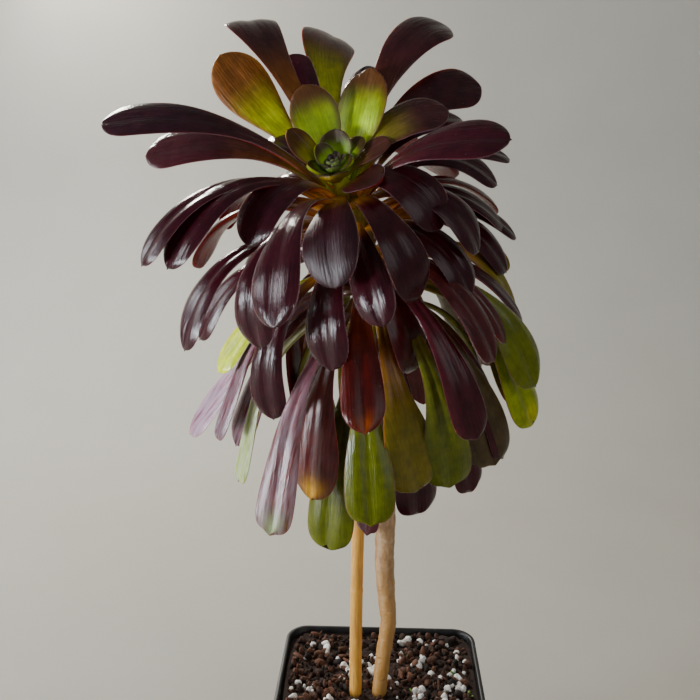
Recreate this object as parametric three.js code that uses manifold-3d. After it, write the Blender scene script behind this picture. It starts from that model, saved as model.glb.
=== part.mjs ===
// Potted aeonium: a round head of spoon-shaped leaves on one bare stem, with a cane beside it,
// in a square plastic pot of bark and perlite. Millimetres, +Z up, and the front is -Y.
// The origin is the centre of the pot's flat base.
import * as THREE from 'three';
import { mergeVertices } from 'three/addons/utils/BufferGeometryUtils.js';
import Module from 'manifold-3d';

const wasm = await Module();
wasm.setup();

// ---- Driving dimensions -------------------------------------------------------------------

const GAP = 0.3; // between pieces that rest on each other

const POT = {
  height: 94,
  rimHalf: 52.5, // half of the 105 mm square rim
  shoulderHalf: 51, // outer wall just under the lip
  footHalf: 41,
  lipHeight: 6,
  wall: 1.5,
  floor: 2.2,
  rimCorner: 11,
  footCorner: 8,
};
const DRAIN = { diameter: 8, offset: 22, count: 8 };
const CORNER_STEPS = 5;

const SOIL = {
  top: 92,
  relief: 1.1,
  rings: [0.98, 0.88, 0.76, 0.63, 0.5, 0.36, 0.22, 0.1], // share of the pot's inner width
  chips: 26,
  perlite: 24,
};

// The stem and the cane stand near the pot's centre and lean back a little: [height, place]
const LEAN = [[SOIL.top, -2], [260, 4]];
const STEM_FOOT_Z = 62;
const STEM_SIDES = 10;
// Bare stem from the soil up: height, sideways place, diameter
const STEM_PATH = [
  [STEM_FOOT_Z, -1.5, 7],
  [98, 0, 7.2],
  [120, 2.5, 7.6],
  [132, 4.2, 7.8],
  [146, 2.8, 8.8],
  [160, 1.6, 9.4],
  [185, 2, 9.6],
  [230, 1, 9.4],
  [260, 0, 9.2],
];

const CANE = { diameter: 6.2, footZ: 30, topZ: 252, sides: 10 };
// Cane axis: height, sideways place; it bows a little towards the stem
const CANE_PATH = [
  [CANE.footZ, -12.2],
  [118, -12.2],
  [166, -11.6],
  [210, -10.2],
  [CANE.topZ, -8.6],
];

// The leafy shoot curves forward and to the left, from its growing tip back down to the neck
const SHOOT_TIP = new THREE.Vector3(-21, -20.5, 353);
const SHOOT_UPPER = new THREE.Vector3(-13, -6, 329);
const SHOOT_LOWER = new THREE.Vector3(-2, 4, 303);
const SHOOT_NECK = new THREE.Vector3(0, 4.5, 273);
const SHOOT_LENGTH = 88;
const SHOOT_CUT = 84; // the leafy part ends here and the bare stem goes on
const SHOOT_SIDES = 8;
// Radius of the shoot by depth below its tip
const SHOOT_RADII = [[0, 1.6], [4, 2.8], [12, 3.9], [28, 5.2], [72, 5.4], [SHOOT_CUT, 4.8]];

// Leaves. Each row is one leaf:
//   depth  mm below the shoot's tip where it grows
//   turn   degrees round the shoot, 0 at the front, 90 to the right
//   length and width in mm
//   rise   degrees that it points up from the shoot's square at its root
//   hang   the same at its end, so negative where it droops
//   twist  degrees that its end is turned about its own length
const HEART_LEAVES = [
  [3, 60, 9, 8, 40, 15, 15],
  [3, -125, 12, 10, 75, 70, -10],
  [4, -75, 12, 10, 40, 50, -10],
  [4, 105, 16, 10, 40, 20, 15],
  [4, 155, 16, 15, 55, 50, 0],
  [5, -10, 12, 13, 30, 35, -5],
  [6, -120, 26, 13, 55, 65, -5],
  [6, 85, 24, 11, 30, 10, 15],
];
// Broad leaves that stand up behind the heart and bend back only near their ends
const STANDING_LEAVES = [
  [9, -175, 40, 20, 60, 55, 0],
  [10, 135, 46, 26, 45, 35, 0],
  [12, -155, 95, 25, 20, 45, -15],
  [14, 170, 100, 26, 40, -35, 40],
  [15, -165, 105, 22, 65, -35, 20],
  [16, 130, 95, 22, 45, -40, 25],
];
// Dark leaves of the crown that arch outward
const ARCHING_LEAVES = [
  [10, 35, 26, 18, 30, 5, 5],
  [13, 100, 55, 20, 55, -25, 20],
  [14, -15, 54, 25, 30, -60, 10],
  [15, 50, 58, 20, 50, -90, 10],
  [16, -105, 88, 20, 60, -5, -20],
  [16, -60, 58, 20, 70, -55, -20],
  [16, 120, 84, 20, 40, -30, 45],
  [18, -175, 72, 15, 65, 20, 0],
  [19, -100, 108, 20, 70, 5, -15],
  [19, 155, 66, 16, 50, 10, -5],
  [20, 20, 75, 20, 45, -105, -20],
  [20, 65, 76, 20, 45, -15, 15],
  [22, -25, 94, 22, 55, -50, 10],
  [22, 60, 70, 19, 35, -90, 0],
  [22, 120, 70, 16, 45, -35, 25],
  [24, -145, 68, 18, 70, -25, 0],
  [24, -70, 96, 22, 70, -45, -15],
  [24, 85, 72, 17, 50, -65, 10],
  [25, 105, 78, 18, 30, -45, 10],
  [28, -75, 106, 18, 70, -40, -5],
  [28, 0, 62, 18, 20, -60, 25],
  [28, 95, 72, 17, 15, -70, 10],
  [30, -115, 80, 17, 70, -60, 20],
  [32, -50, 90, 19, 55, -85, -15],
  [32, 50, 66, 18, 20, -90, 0],
  [32, 100, 82, 16, -5, -80, 40],
  [34, -30, 68, 21, 10, -80, 5],
  [34, 100, 78, 15, 10, -65, 15],
  [36, -100, 90, 17, 60, -55, 25],
  [40, 15, 66, 24, -15, -110, -35],
  [42, -70, 104, 19, 50, -60, -10],
  [42, -15, 82, 18, -25, -45, -20],
  [42, 40, 84, 20, 10, -85, -20],
  [44, -60, 94, 18, 10, -85, -30],
];
// Old leaves of the skirt, longer and blunter, that hang over the bare stem
const SKIRT_LEAVES = [
  [44, 100, 92, 17, -5, -90, 30],
  [44, 90, 84, 16, -15, -75, 5],
  [46, 60, 76, 16, 0, -80, -15],
  [48, -90, 94, 15, 35, -50, -25],
  [50, -80, 84, 15, 10, -40, -20],
  [50, 25, 100, 16, 0, -85, 5],
  [50, 70, 100, 22, -10, -80, 25],
  [52, -90, 122, 20, -15, -40, -15],
  [54, -90, 114, 19, -15, -55, -40],
  [54, 95, 108, 21, -25, -80, 45],
  [56, -50, 104, 25, -30, -65, -15],
  [58, 80, 110, 23, -15, -80, 30],
  [60, -75, 108, 14, 20, -55, -10],
  [60, 0, 104, 26, -20, -95, -30],
  [60, 25, 112, 22, -20, -100, 15],
  [60, 60, 106, 25, -35, -85, 30],
  [62, -50, 120, 18, -15, -60, -30],
  [62, 70, 106, 16, -30, -85, 15],
  [66, 50, 106, 17, -40, -90, 15],
  [68, -75, 114, 16, 5, -65, -10],
  [68, -20, 100, 22, -35, -70, -20],
  [70, -50, 114, 25, -50, -70, -20],
  [74, 20, 104, 22, -60, -100, 0],
  [78, -25, 96, 16, -50, -75, 20],
];
// Leaves of the far side grow in whorls, by turns wide and narrow, that nest under each other
const BACK = {
  whorls: 10,
  depth: 22, // of the first whorl, and step mm more for each one below it
  step: 6,
  middle: 184, // degrees round the shoot, with half of the whorl to each side
  topHalf: 30,
  widening: 18, // of that half by each whorl, up to wide or narrow
  wide: 66,
  narrow: 50,
  spacing: 16, // a leaf for this much of the half
};
const BUD_LEAVES = 7;
const GOLDEN_ANGLE = 137.508;

// ---- Small helpers ------------------------------------------------------------------------

const { clamp, degToRad, lerp, smoothstep } = THREE.MathUtils;
const smooth = (x) => smoothstep(x, 0, 1);

/** Repeatable numbers from 0 to 1 */
function seeded(seed) {
  let state = seed;
  return () => {
    state = (state * 16807) % 2147483647;
    return state / 2147483647;
  };
}

/** Value at x on a line through [x, value] points */
function along(points, x) {
  const last = points.length - 1;
  if (x <= points[0][0]) return points[0][1];
  for (let i = 0; i < last; i += 1) {
    const [x0, v0] = points[i];
    const [x1, v1] = points[i + 1];
    if (x <= x1) return lerp(v0, v1, (x - x0) / (x1 - x0));
  }
  return points[last][1];
}

/** Closed body through a row of rings; a ring of one point is a tip, and flat ends are fanned */
function skin(rings, flipped = []) {
  const positions = [];
  const starts = rings.map((ring) => {
    const start = positions.length / 3;
    ring.forEach((p) => positions.push(p.x, p.y, p.z));
    return start;
  });
  const faces = [];
  for (let i = 0; i < rings.length - 1; i += 1) {
    const sides = Math.max(rings[i].length, rings[i + 1].length);
    const lower = (j) => starts[i] + (j % rings[i].length);
    const upper = (j) => starts[i + 1] + (j % rings[i + 1].length);
    for (let j = 0; j < sides; j += 1) {
      const next = (j + 1) % sides;
      if (rings[i + 1].length === 1) faces.push([lower(j), lower(next), upper(0)]);
      else if (rings[i].length === 1) faces.push([lower(0), upper(next), upper(j)]);
      else if (flipped[j]) faces.push([lower(j), lower(next), upper(j)], [lower(next), upper(next), upper(j)]);
      else faces.push([lower(j), lower(next), upper(next)], [lower(j), upper(next), upper(j)]);
    }
  }
  const first = rings[0].length;
  for (let j = 1; j < first - 1; j += 1) faces.push([starts[0], starts[0] + j + 1, starts[0] + j]);
  const top = starts[rings.length - 1];
  const last = rings[rings.length - 1].length;
  for (let j = 1; j < last - 1; j += 1) faces.push([top, top + j, top + j + 1]);
  const geometry = new THREE.BufferGeometry();
  geometry.setAttribute('position', new THREE.Float32BufferAttribute(positions, 3));
  geometry.setIndex(faces.flat());
  return outward(geometry);
}

/** Turns a closed body's faces outward where they point in */
function outward(geometry) {
  const position = geometry.getAttribute('position');
  const index = geometry.getIndex().array;
  const corner = [new THREE.Vector3(), new THREE.Vector3(), new THREE.Vector3()];
  let volume = 0;
  for (let i = 0; i < index.length; i += 3) {
    corner.forEach((c, k) => c.fromBufferAttribute(position, index[i + k]));
    volume += corner[0].dot(corner[1].cross(corner[2]));
  }
  if (volume < 0) geometry.setIndex(Array.from(index).reverse());
  return geometry;
}

/** three.js geometry to a solid that can be cut and joined */
function toSolid(geometry) {
  const bare = geometry.clone();
  bare.deleteAttribute('normal');
  bare.deleteAttribute('uv');
  const merged = mergeVertices(bare, 1e-5);
  const mesh = new wasm.Mesh({
    numProp: 3,
    vertProperties: Float32Array.from(merged.getAttribute('position').array),
    triVerts: Uint32Array.from(merged.getIndex().array),
  });
  return new wasm.Manifold(mesh);
}

/** The solid's largest body as a three.js geometry, so loose scraps and sealed hollows are gone */
function toGeometry(solid) {
  const bodies = solid.decompose();
  bodies.sort((a, b) => b.volume() - a.volume());
  const { vertProperties, triVerts } = bodies[0].getMesh();
  const geometry = new THREE.BufferGeometry();
  geometry.setAttribute('position', new THREE.Float32BufferAttribute(vertProperties, 3));
  geometry.setIndex(Array.from(triVerts));
  return geometry;
}

const joined = (geometries) => geometries.map(toSolid).reduce((sum, solid) => sum.add(solid));

function piece(name, geometry, color, roughness) {
  const facets = geometry.toNonIndexed();
  facets.computeVertexNormals();
  const material = new THREE.MeshStandardMaterial({ color, roughness, metalness: 0 });
  const mesh = new THREE.Mesh(facets, material);
  mesh.name = name;
  return mesh;
}

// ---- Pot ----------------------------------------------------------------------------------

/** Square ring with round corners, at height z */
function roundedSquare(half, corner, z, heightAt = () => z) {
  const ring = [];
  const quarter = Math.PI / 2;
  for (let side = 0; side < 4; side += 1) {
    const towards = side * quarter + quarter / 2;
    const cx = Math.SQRT2 * (half - corner) * Math.cos(towards);
    const cy = Math.SQRT2 * (half - corner) * Math.sin(towards);
    for (let step = 0; step <= CORNER_STEPS; step += 1) {
      const angle = side * quarter + (quarter * step) / CORNER_STEPS;
      const x = cx + corner * Math.cos(angle);
      const y = cy + corner * Math.sin(angle);
      ring.push(new THREE.Vector3(x, y, heightAt(x, y)));
    }
  }
  return ring;
}

/** Half width of the pot's inside at height z */
function innerHalf(z) {
  const share = z / (POT.height - POT.lipHeight);
  return lerp(POT.footHalf, POT.shoulderHalf, share) - POT.wall;
}

const innerCorner = (z) => lerp(POT.footCorner, POT.rimCorner, z / POT.height) - POT.wall;

function makePot() {
  const lipFoot = POT.height - POT.lipHeight;
  const edge = 0.5;
  const outside = skin([
    roundedSquare(POT.footHalf - edge, POT.footCorner, 0),
    roundedSquare(POT.footHalf, POT.footCorner, edge * 2),
    roundedSquare(POT.shoulderHalf, POT.rimCorner - 1, lipFoot),
    roundedSquare(POT.rimHalf, POT.rimCorner, lipFoot + edge * 2),
    roundedSquare(POT.rimHalf, POT.rimCorner, POT.height - edge),
    roundedSquare(POT.rimHalf - edge, POT.rimCorner, POT.height),
  ]);
  const mouth = POT.height + 5;
  const inside = skin([
    roundedSquare(innerHalf(POT.floor), innerCorner(POT.floor), POT.floor),
    roundedSquare(innerHalf(lipFoot), innerCorner(lipFoot), lipFoot),
    roundedSquare(innerHalf(mouth), innerCorner(mouth), mouth),
  ]);
  let shell = toSolid(outside).subtract(toSolid(inside));
  for (let i = 0; i < DRAIN.count; i += 1) {
    const turn = (i / DRAIN.count) * 2 * Math.PI;
    const reach = DRAIN.offset * (i % 2 ? Math.SQRT2 : 1);
    const hole = new THREE.CylinderGeometry(DRAIN.diameter / 2, DRAIN.diameter / 2, POT.floor * 4, 12);
    hole.rotateX(Math.PI / 2);
    hole.translate(reach * Math.cos(turn), reach * Math.sin(turn), 0);
    shell = shell.subtract(toSolid(hole));
  }
  return toGeometry(shell);
}

// ---- Stem and cane ------------------------------------------------------------------------

/** Place from front to back of the stem's and the cane's middle line at height z */
function leanAt(z) {
  const [[lowZ, lowY], [highZ, highY]] = LEAN;
  return lerp(lowY, highY, (z - lowZ) / (highZ - lowZ));
}

/** Level rings of a nearly upright rod along [height, place, diameter] rows, made wider by grow */
function rodRings(rows, sides, grow) {
  return rows.map(([z, x, diameter]) => {
    const radius = diameter / 2 + grow;
    const y = leanAt(z);
    const ring = [];
    for (let j = 0; j < sides; j += 1) {
      const angle = (j / sides) * 2 * Math.PI;
      ring.push(new THREE.Vector3(x + radius * Math.cos(angle), y + radius * Math.sin(angle), z));
    }
    return ring;
  });
}

function shootPoint(depth) {
  const curve = new THREE.CubicBezierCurve3(SHOOT_TIP, SHOOT_UPPER, SHOOT_LOWER, SHOOT_NECK);
  const t = depth / SHOOT_LENGTH;
  const up = curve.getTangent(t).negate();
  return { at: curve.getPoint(t), up };
}

/** Ring square to the shoot at a depth below its tip */
function shootRing(depth, radius) {
  const { at, up } = shootPoint(depth);
  const front = new THREE.Vector3(0, -1, 0).projectOnPlane(up).normalize();
  const right = new THREE.Vector3().crossVectors(up, front);
  const ring = [];
  for (let j = 0; j < SHOOT_SIDES; j += 1) {
    const angle = (j / SHOOT_SIDES) * 2 * Math.PI;
    const p = at.clone().addScaledVector(front, radius * Math.cos(angle));
    ring.push(p.addScaledVector(right, radius * Math.sin(angle)));
  }
  return ring;
}

/** The bare stem, which leaf scars and slight swellings make uneven */
function stemRings(grow) {
  const rings = rodRings(STEM_PATH, STEM_SIDES, grow);
  const { at, up } = shootPoint(SHOOT_CUT);
  const top = at.addScaledVector(up, -GAP);
  const radius = along(SHOOT_RADII, SHOOT_CUT) + grow;
  const neck = [];
  for (let j = 0; j < STEM_SIDES; j += 1) {
    const angle = (j / STEM_SIDES) * 2 * Math.PI;
    const flat = new THREE.Vector3(radius * Math.cos(angle), radius * Math.sin(angle), 0);
    neck.push(top.clone().add(flat.projectOnPlane(up)));
  }
  return [...rings, neck];
}

function makeStem() {
  return skin(stemRings(0));
}

const caneRows = () => CANE_PATH.map(([z, x]) => [z, x, CANE.diameter]);

function makeCane() {
  const rings = rodRings(caneRows(), CANE.sides, 0);
  return skin(rings);
}

// ---- Soil ---------------------------------------------------------------------------------

function soilHeight(x, y) {
  const swell = Math.sin(x * 0.21 + 1.3) * Math.cos(y * 0.17 - 0.4);
  const crumb = Math.sin(x * 0.83 + y * 0.31) * Math.sin(y * 0.71 - x * 0.22);
  return SOIL.top + SOIL.relief * (0.6 * swell + 0.4 * crumb);
}

/** Low-poly lump that lies half sunk in the soil */
function lump(x, y, size, turn) {
  const geometry = new THREE.IcosahedronGeometry(size / 2, 0);
  geometry.scale(1.3, 0.9, 0.6);
  geometry.rotateZ(turn);
  geometry.rotateX(turn * 0.3);
  geometry.translate(x, y, soilHeight(x, y) + size * 0.12);
  return geometry;
}

/** Places on the soil, even over the square and clear of the stem and the cane */
function scatter(count, seed) {
  const random = seeded(seed);
  const spots = [];
  const reach = innerHalf(SOIL.top) - 5;
  while (spots.length < count) {
    const x = lerp(-reach, reach, random());
    const y = lerp(-reach, reach, random());
    const byStem = Math.hypot(x, y - leanAt(SOIL.top)) < 9;
    const byCane = Math.hypot(x - CANE_PATH[0][1], y - leanAt(SOIL.top)) < 8;
    if (!byStem && !byCane) spots.push([x, y, random()]);
  }
  return spots;
}

function makeSoil() {
  const wallGap = (z) => innerHalf(z) - GAP;
  const bottom = POT.floor + GAP;
  const shoulder = SOIL.top - 2 * SOIL.relief;
  const rings = [
    roundedSquare(wallGap(bottom), innerCorner(bottom), bottom),
    roundedSquare(wallGap(shoulder), innerCorner(shoulder), shoulder),
  ];
  SOIL.rings.forEach((share) => {
    const half = share * wallGap(SOIL.top);
    const corner = half * lerp(1, innerCorner(SOIL.top) / innerHalf(SOIL.top), share);
    rings.push(roundedSquare(half, corner, SOIL.top, soilHeight));
  });
  rings.push([new THREE.Vector3(0, 0, soilHeight(0, 0))]);
  const chips = scatter(SOIL.chips, 11).map(([x, y, r]) => lump(x, y, lerp(5, 9, r), r * 40));
  const grains = scatter(SOIL.perlite, 29).map(([x, y, r]) => lump(x, y, lerp(3, 5, r), r * 70));
  let soil = joined([skin(rings), ...chips, ...grains]);
  const stemHole = skin(stemRings(GAP)).translate(0, 0, -GAP);
  const caneHole = skin(rodRings(caneRows(), CANE.sides, GAP)).translate(0, 0, -GAP);
  soil = soil.subtract(toSolid(stemHole)).subtract(toSolid(caneHole));
  return toGeometry(soil);
}

// ---- Leaves -------------------------------------------------------------------------------

const PETIOLE_WIDTH = 5.2;
const LONG_STATIONS = [0, 0.21, 0.46, 0.66, 0.83, 0.955];
const SHORT_STATIONS = [0, 0.42, 0.83];
const BACK_STATIONS = [0, 0.25, 0.55, 0.88];
const ROOT_SUNK = 2.2; // how far a leaf's root goes on into the shoot
const ROOT_SHARE = 0.6; // and how wide it still is there
const LATE_BEND = 2.5; // power by which the standing leaves keep their bend for the end
// Sides of a leaf's section whose faces are split the other way, alike above and below
const SPLIT = [false, false, true, true, false, true];

/** Share of the way from rise to hang at t along the leaf; old leaves have drooped nearer the root */
function bend(t, depth, late) {
  const reach = 1 - 0.3 * smooth((depth - 44) / 12);
  const x = clamp(t / reach, 0, 1);
  return late ? x ** LATE_BEND : 0.5 * x + 0.5 * smooth(x);
}

/** Half width as a share of the widest, which is a little before the round end */
function halfWidth(t, length, width) {
  const petiole = Math.min(0.6, PETIOLE_WIDTH / width);
  const widest = Math.max(0.5, 1 - (0.68 * width) / length);
  if (t < widest) {
    const power = 1.1 + 1.5 * smooth((length - 60) / 45);
    return petiole + (1 - petiole) * smooth(t / widest) ** power;
  }
  const x = (t - widest) / (1 - widest);
  return Math.max(0, 1 - x ** 2.3) ** (1 / 2.3);
}

/** Centre line of a leaf at every step, with the directions along, across and out of its face */
function leafSpine([depth, turn, length, , rise, hang, twist], late) {
  const steps = 24;
  const { at, up } = shootPoint(depth);
  const front = new THREE.Vector3(0, -1, 0).projectOnPlane(up).normalize();
  const right = new THREE.Vector3().crossVectors(up, front);
  const out = front.clone().multiplyScalar(Math.cos(degToRad(turn)));
  out.addScaledVector(right, Math.sin(degToRad(turn)));
  const across = new THREE.Vector3().crossVectors(up, out);
  const point = at.clone().addScaledVector(out, Math.min(3.5, 0.6 + 0.25 * depth));
  const slope = (t) => degToRad(lerp(rise, hang, bend(t, depth, late)));
  const spine = [];
  for (let i = 0; i <= steps; i += 1) {
    const t = i / steps;
    const ahead = out.clone().multiplyScalar(Math.cos(slope(t)));
    ahead.addScaledVector(up, Math.sin(slope(t)));
    const face = up.clone().multiplyScalar(Math.cos(slope(t)));
    face.addScaledVector(out, -Math.sin(slope(t)));
    const turned = degToRad(twist) * smooth((t - 0.1) / 0.5);
    const side = across.clone().multiplyScalar(Math.cos(turned));
    side.addScaledVector(face, Math.sin(turned));
    const lift = face.clone().multiplyScalar(Math.cos(turned));
    lift.addScaledVector(across, -Math.sin(turned));
    spine.push({ point: point.clone(), ahead, side, lift });
    const middle = slope(t + 0.5 / steps);
    point.addScaledVector(out, (Math.cos(middle) * length) / steps);
    point.addScaledVector(up, (Math.sin(middle) * length) / steps);
  }
  return spine;
}

/** One leaf: two low lobes beside a groove on its face, and a keel below */
function leaf(row, stations, late = false) {
  const [, , length, width] = row;
  const spine = leafSpine(row, late);
  const cup = 0.28 * (1 - smooth(length / 45)) - 0.04;
  const lobe = 0.136;
  const rings = stations.map((t) => {
    const place = Math.min(spine.length - 1, Math.round(t * (spine.length - 1)));
    const { point, ahead, side, lift } = spine[place];
    const root = t === 0 ? ROOT_SHARE : 1;
    const half = (root * halfWidth(t, length, width) * width) / 2;
    const thick = Math.min(half * 0.62, lerp(3.4, 1.9, smooth(t * 2)) - 0.6 * smooth(t * 2 - 1));
    const at = (u, rise) => {
      const p = point.clone().addScaledVector(side, u * half);
      p.addScaledVector(lift, rise);
      return t === 0 ? p.addScaledVector(ahead, -ROOT_SUNK) : p;
    };
    const high = half * (cup / 4 + lobe);
    return [at(-1, half * cup), at(-0.5, high), at(0, 0), at(0.5, high), at(1, half * cup), at(0, -thick)];
  });
  const end = spine[spine.length - 1];
  rings.push([end.point.clone()]);
  return skin(rings, SPLIT);
}

/** Tiny leaves of the bud, a golden angle apart */
function budLeaves() {
  const leaves = [];
  for (let i = 0; i < BUD_LEAVES; i += 1) {
    const row = [0.4 + 0.3 * i, i * GOLDEN_ANGLE, 3.4 + 0.5 * i, 3.2 + 0.6 * i, 78 - 4 * i, 66 - 5 * i, 0];
    leaves.push(leaf(row, SHORT_STATIONS));
  }
  return leaves;
}

/** Leaves of the far side, each whorl lower, longer and more drooping than the one above it */
function backLeaves() {
  const random = seeded(5);
  const around = (value, spread) => value + (random() * 2 - 1) * spread;
  const leaves = [];
  for (let whorl = 0; whorl < BACK.whorls; whorl += 1) {
    const below = whorl * BACK.step;
    const half = Math.min(whorl % 2 ? BACK.narrow : BACK.wide, BACK.topHalf + BACK.widening * whorl);
    const count = Math.round(half / BACK.spacing);
    for (let i = 0; i < count; i += 1) {
      const turn = around(BACK.middle + lerp(-half, half, i / (count - 1)), 3);
      const length = around(74 + 0.6 * below, 4);
      const rise = Math.max(-14, around(38 - 0.95 * below, 4));
      const hang = around(Math.max(-84, -60 - 0.8 * below), 5);
      const row = [BACK.depth + below, turn, length, around(18.5, 1.3), rise, hang, around(0, 6)];
      leaves.push(leaf(row, BACK_STATIONS));
    }
  }
  return leaves;
}

function makeFoliage() {
  const shoot = skin([
    ...SHOOT_RADII.map(([depth, radius]) => shootRing(depth, radius)),
  ]);
  const leaves = [
    ...budLeaves(),
    ...HEART_LEAVES.map((row) => leaf(row, SHORT_STATIONS)),
    ...STANDING_LEAVES.map((row) => leaf(row, LONG_STATIONS, true)),
    ...ARCHING_LEAVES.map((row) => leaf(row, LONG_STATIONS)),
    ...SKIRT_LEAVES.map((row) => leaf(row, LONG_STATIONS)),
    ...backLeaves(),
  ];
  return toGeometry(joined([shoot, ...leaves]));
}

// ---- The whole plant ----------------------------------------------------------------------

const plant = new THREE.Group();
plant.add(piece('pot', makePot(), 0x1b1b1c, 0.55));
plant.add(piece('soil', makeSoil(), 0x33241a, 0.95));
plant.add(piece('cane', makeCane(), 0xc79a55, 0.5));
plant.add(piece('stem', makeStem(), 0x94836c, 0.8));
plant.add(piece('foliage', makeFoliage(), 0x3d1a24, 0.35));

export default plant;
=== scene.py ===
"""Looks of the potted aeonium: leaves, bark, cane, pot and potting mix over the fixed frame.

The leaf rows, the shoot's curve and the pot's sizes are those of the CAD source, in millimetres.
Meshes are built in millimetres and scaled to metres as they are made. The front is -Y.
"""

import math
from collections import namedtuple

import bpy
import numpy as np
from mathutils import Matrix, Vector


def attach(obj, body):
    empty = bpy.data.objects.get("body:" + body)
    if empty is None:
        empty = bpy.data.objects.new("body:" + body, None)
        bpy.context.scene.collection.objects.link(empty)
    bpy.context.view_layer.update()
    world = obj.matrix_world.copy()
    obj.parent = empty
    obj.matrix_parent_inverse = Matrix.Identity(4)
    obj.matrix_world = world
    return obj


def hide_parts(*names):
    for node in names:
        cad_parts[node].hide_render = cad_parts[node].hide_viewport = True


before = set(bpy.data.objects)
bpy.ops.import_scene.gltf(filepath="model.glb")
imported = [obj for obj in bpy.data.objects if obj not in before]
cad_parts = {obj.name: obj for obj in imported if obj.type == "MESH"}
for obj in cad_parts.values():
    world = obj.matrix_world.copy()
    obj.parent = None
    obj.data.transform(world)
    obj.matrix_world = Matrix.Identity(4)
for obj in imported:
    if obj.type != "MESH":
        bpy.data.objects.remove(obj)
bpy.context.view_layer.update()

MM = 0.001

# ---- Camera of the photograph ----

CAMERA_AT = (0.0, -353.2, 357.9)
CAMERA_DOWN = 14.0
CAMERA_LEFT = 2.45
LENS = 41.14
SENSOR = 36.0

# ---- Sizes shared with the solids ----

# Four points of the shoot's middle curve, from the bud down, and its radius by depth below the bud
SHOOT_CURVE = np.array([[-21, -20.5, 353], [-13, -6, 329], [-2, 4, 303], [0, 4.5, 273]], float)
SHOOT_LENGTH = 88.0
SHOOT_CUT = 84.0
SHOOT_RADII = ((0, 1.6), (4, 2.8), (12, 3.9), (28, 5.2), (72, 5.4), (SHOOT_CUT, 4.8))

# The stem and the cane lean back: their places at the soil and at the top of the stem
FOOT_Y = -2.0
TOP_Y = 4.0
TOP_Z = 260.0
# Height, place to the right and, for the stem, diameter
STEM_PATH = (
    (62, -1.5, 7.0), (98, 0.0, 7.2), (120, 2.5, 7.6), (132, 4.2, 7.8), (146, 2.8, 8.8),
    (160, 1.6, 9.4), (185, 2.0, 9.6), (230, 1.0, 9.4), (260, 0.0, 9.2),
)
CANE_DIAMETER = 6.2
CANE_PATH = ((30, -12.2), (118, -12.2), (166, -11.6), (210, -10.2), (252, -8.6))

POT_HEIGHT = 94.0
POT_RIM_HALF = 52.5
POT_SHOULDER_HALF = 51.0
POT_FOOT_HALF = 41.0
POT_LIP = 6.0
POT_WALL = 1.5
POT_FLOOR = 2.2
POT_RIM_CORNER = 11.0
POT_FOOT_CORNER = 8.0
DRAIN_DIAMETER = 8.0
DRAIN_OFFSET = 22.0
DRAIN_COUNT = 8
SOIL_TOP = 92.0
SOIL_FOOT = 3.0
SOIL_WAIST = 45.0
SOIL_SHOULDER = 89.0
SOIL_RELIEF = 1.1
SOIL_SUNK = 0.9

# ---- Leaves ----

# Depth of the root below the bud along the shoot, length and width in millimetres. Turn about the
# shoot from the front, rise of the root, hang of the end and twist of the blade in degrees.

Leaf = namedtuple("Leaf", "depth turn length width rise hang twist look")

HEART_LEAVES = (
    Leaf(3, 60, 9, 8, 40, 15, 15, "heart"),
    Leaf(3, -125, 12, 10, 75, 70, -10, "heart"),
    Leaf(4, -75, 12, 10, 40, 50, -10, "heart"),
    Leaf(4, 105, 16, 10, 40, 20, 15, "heart"),
    Leaf(4, 155, 16, 15, 55, 50, 0, "heart"),
    Leaf(5, -10, 12, 13, 30, 35, -5, "heart_dark"),
    Leaf(6, -120, 26, 13, 55, 65, -5, "heart_warm"),
    Leaf(6, 85, 24, 11, 30, 10, 15, "heart_brown"),
)
STANDING_LEAVES = (
    Leaf(9, -175, 40, 20, 60, 55, 0, "glow"),
    Leaf(10, 135, 46, 26, 45, 35, 0, "glow"),
    Leaf(12, -155, 95, 25, 20, 45, -15, "sunset"),
    Leaf(14, 170, 100, 26, 40, -35, 40, "sunset_tall"),
    Leaf(15, -165, 105, 22, 65, -35, 20, "sunset_dark"),
    Leaf(16, 130, 95, 22, 45, -40, 25, "ember"),
)
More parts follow.
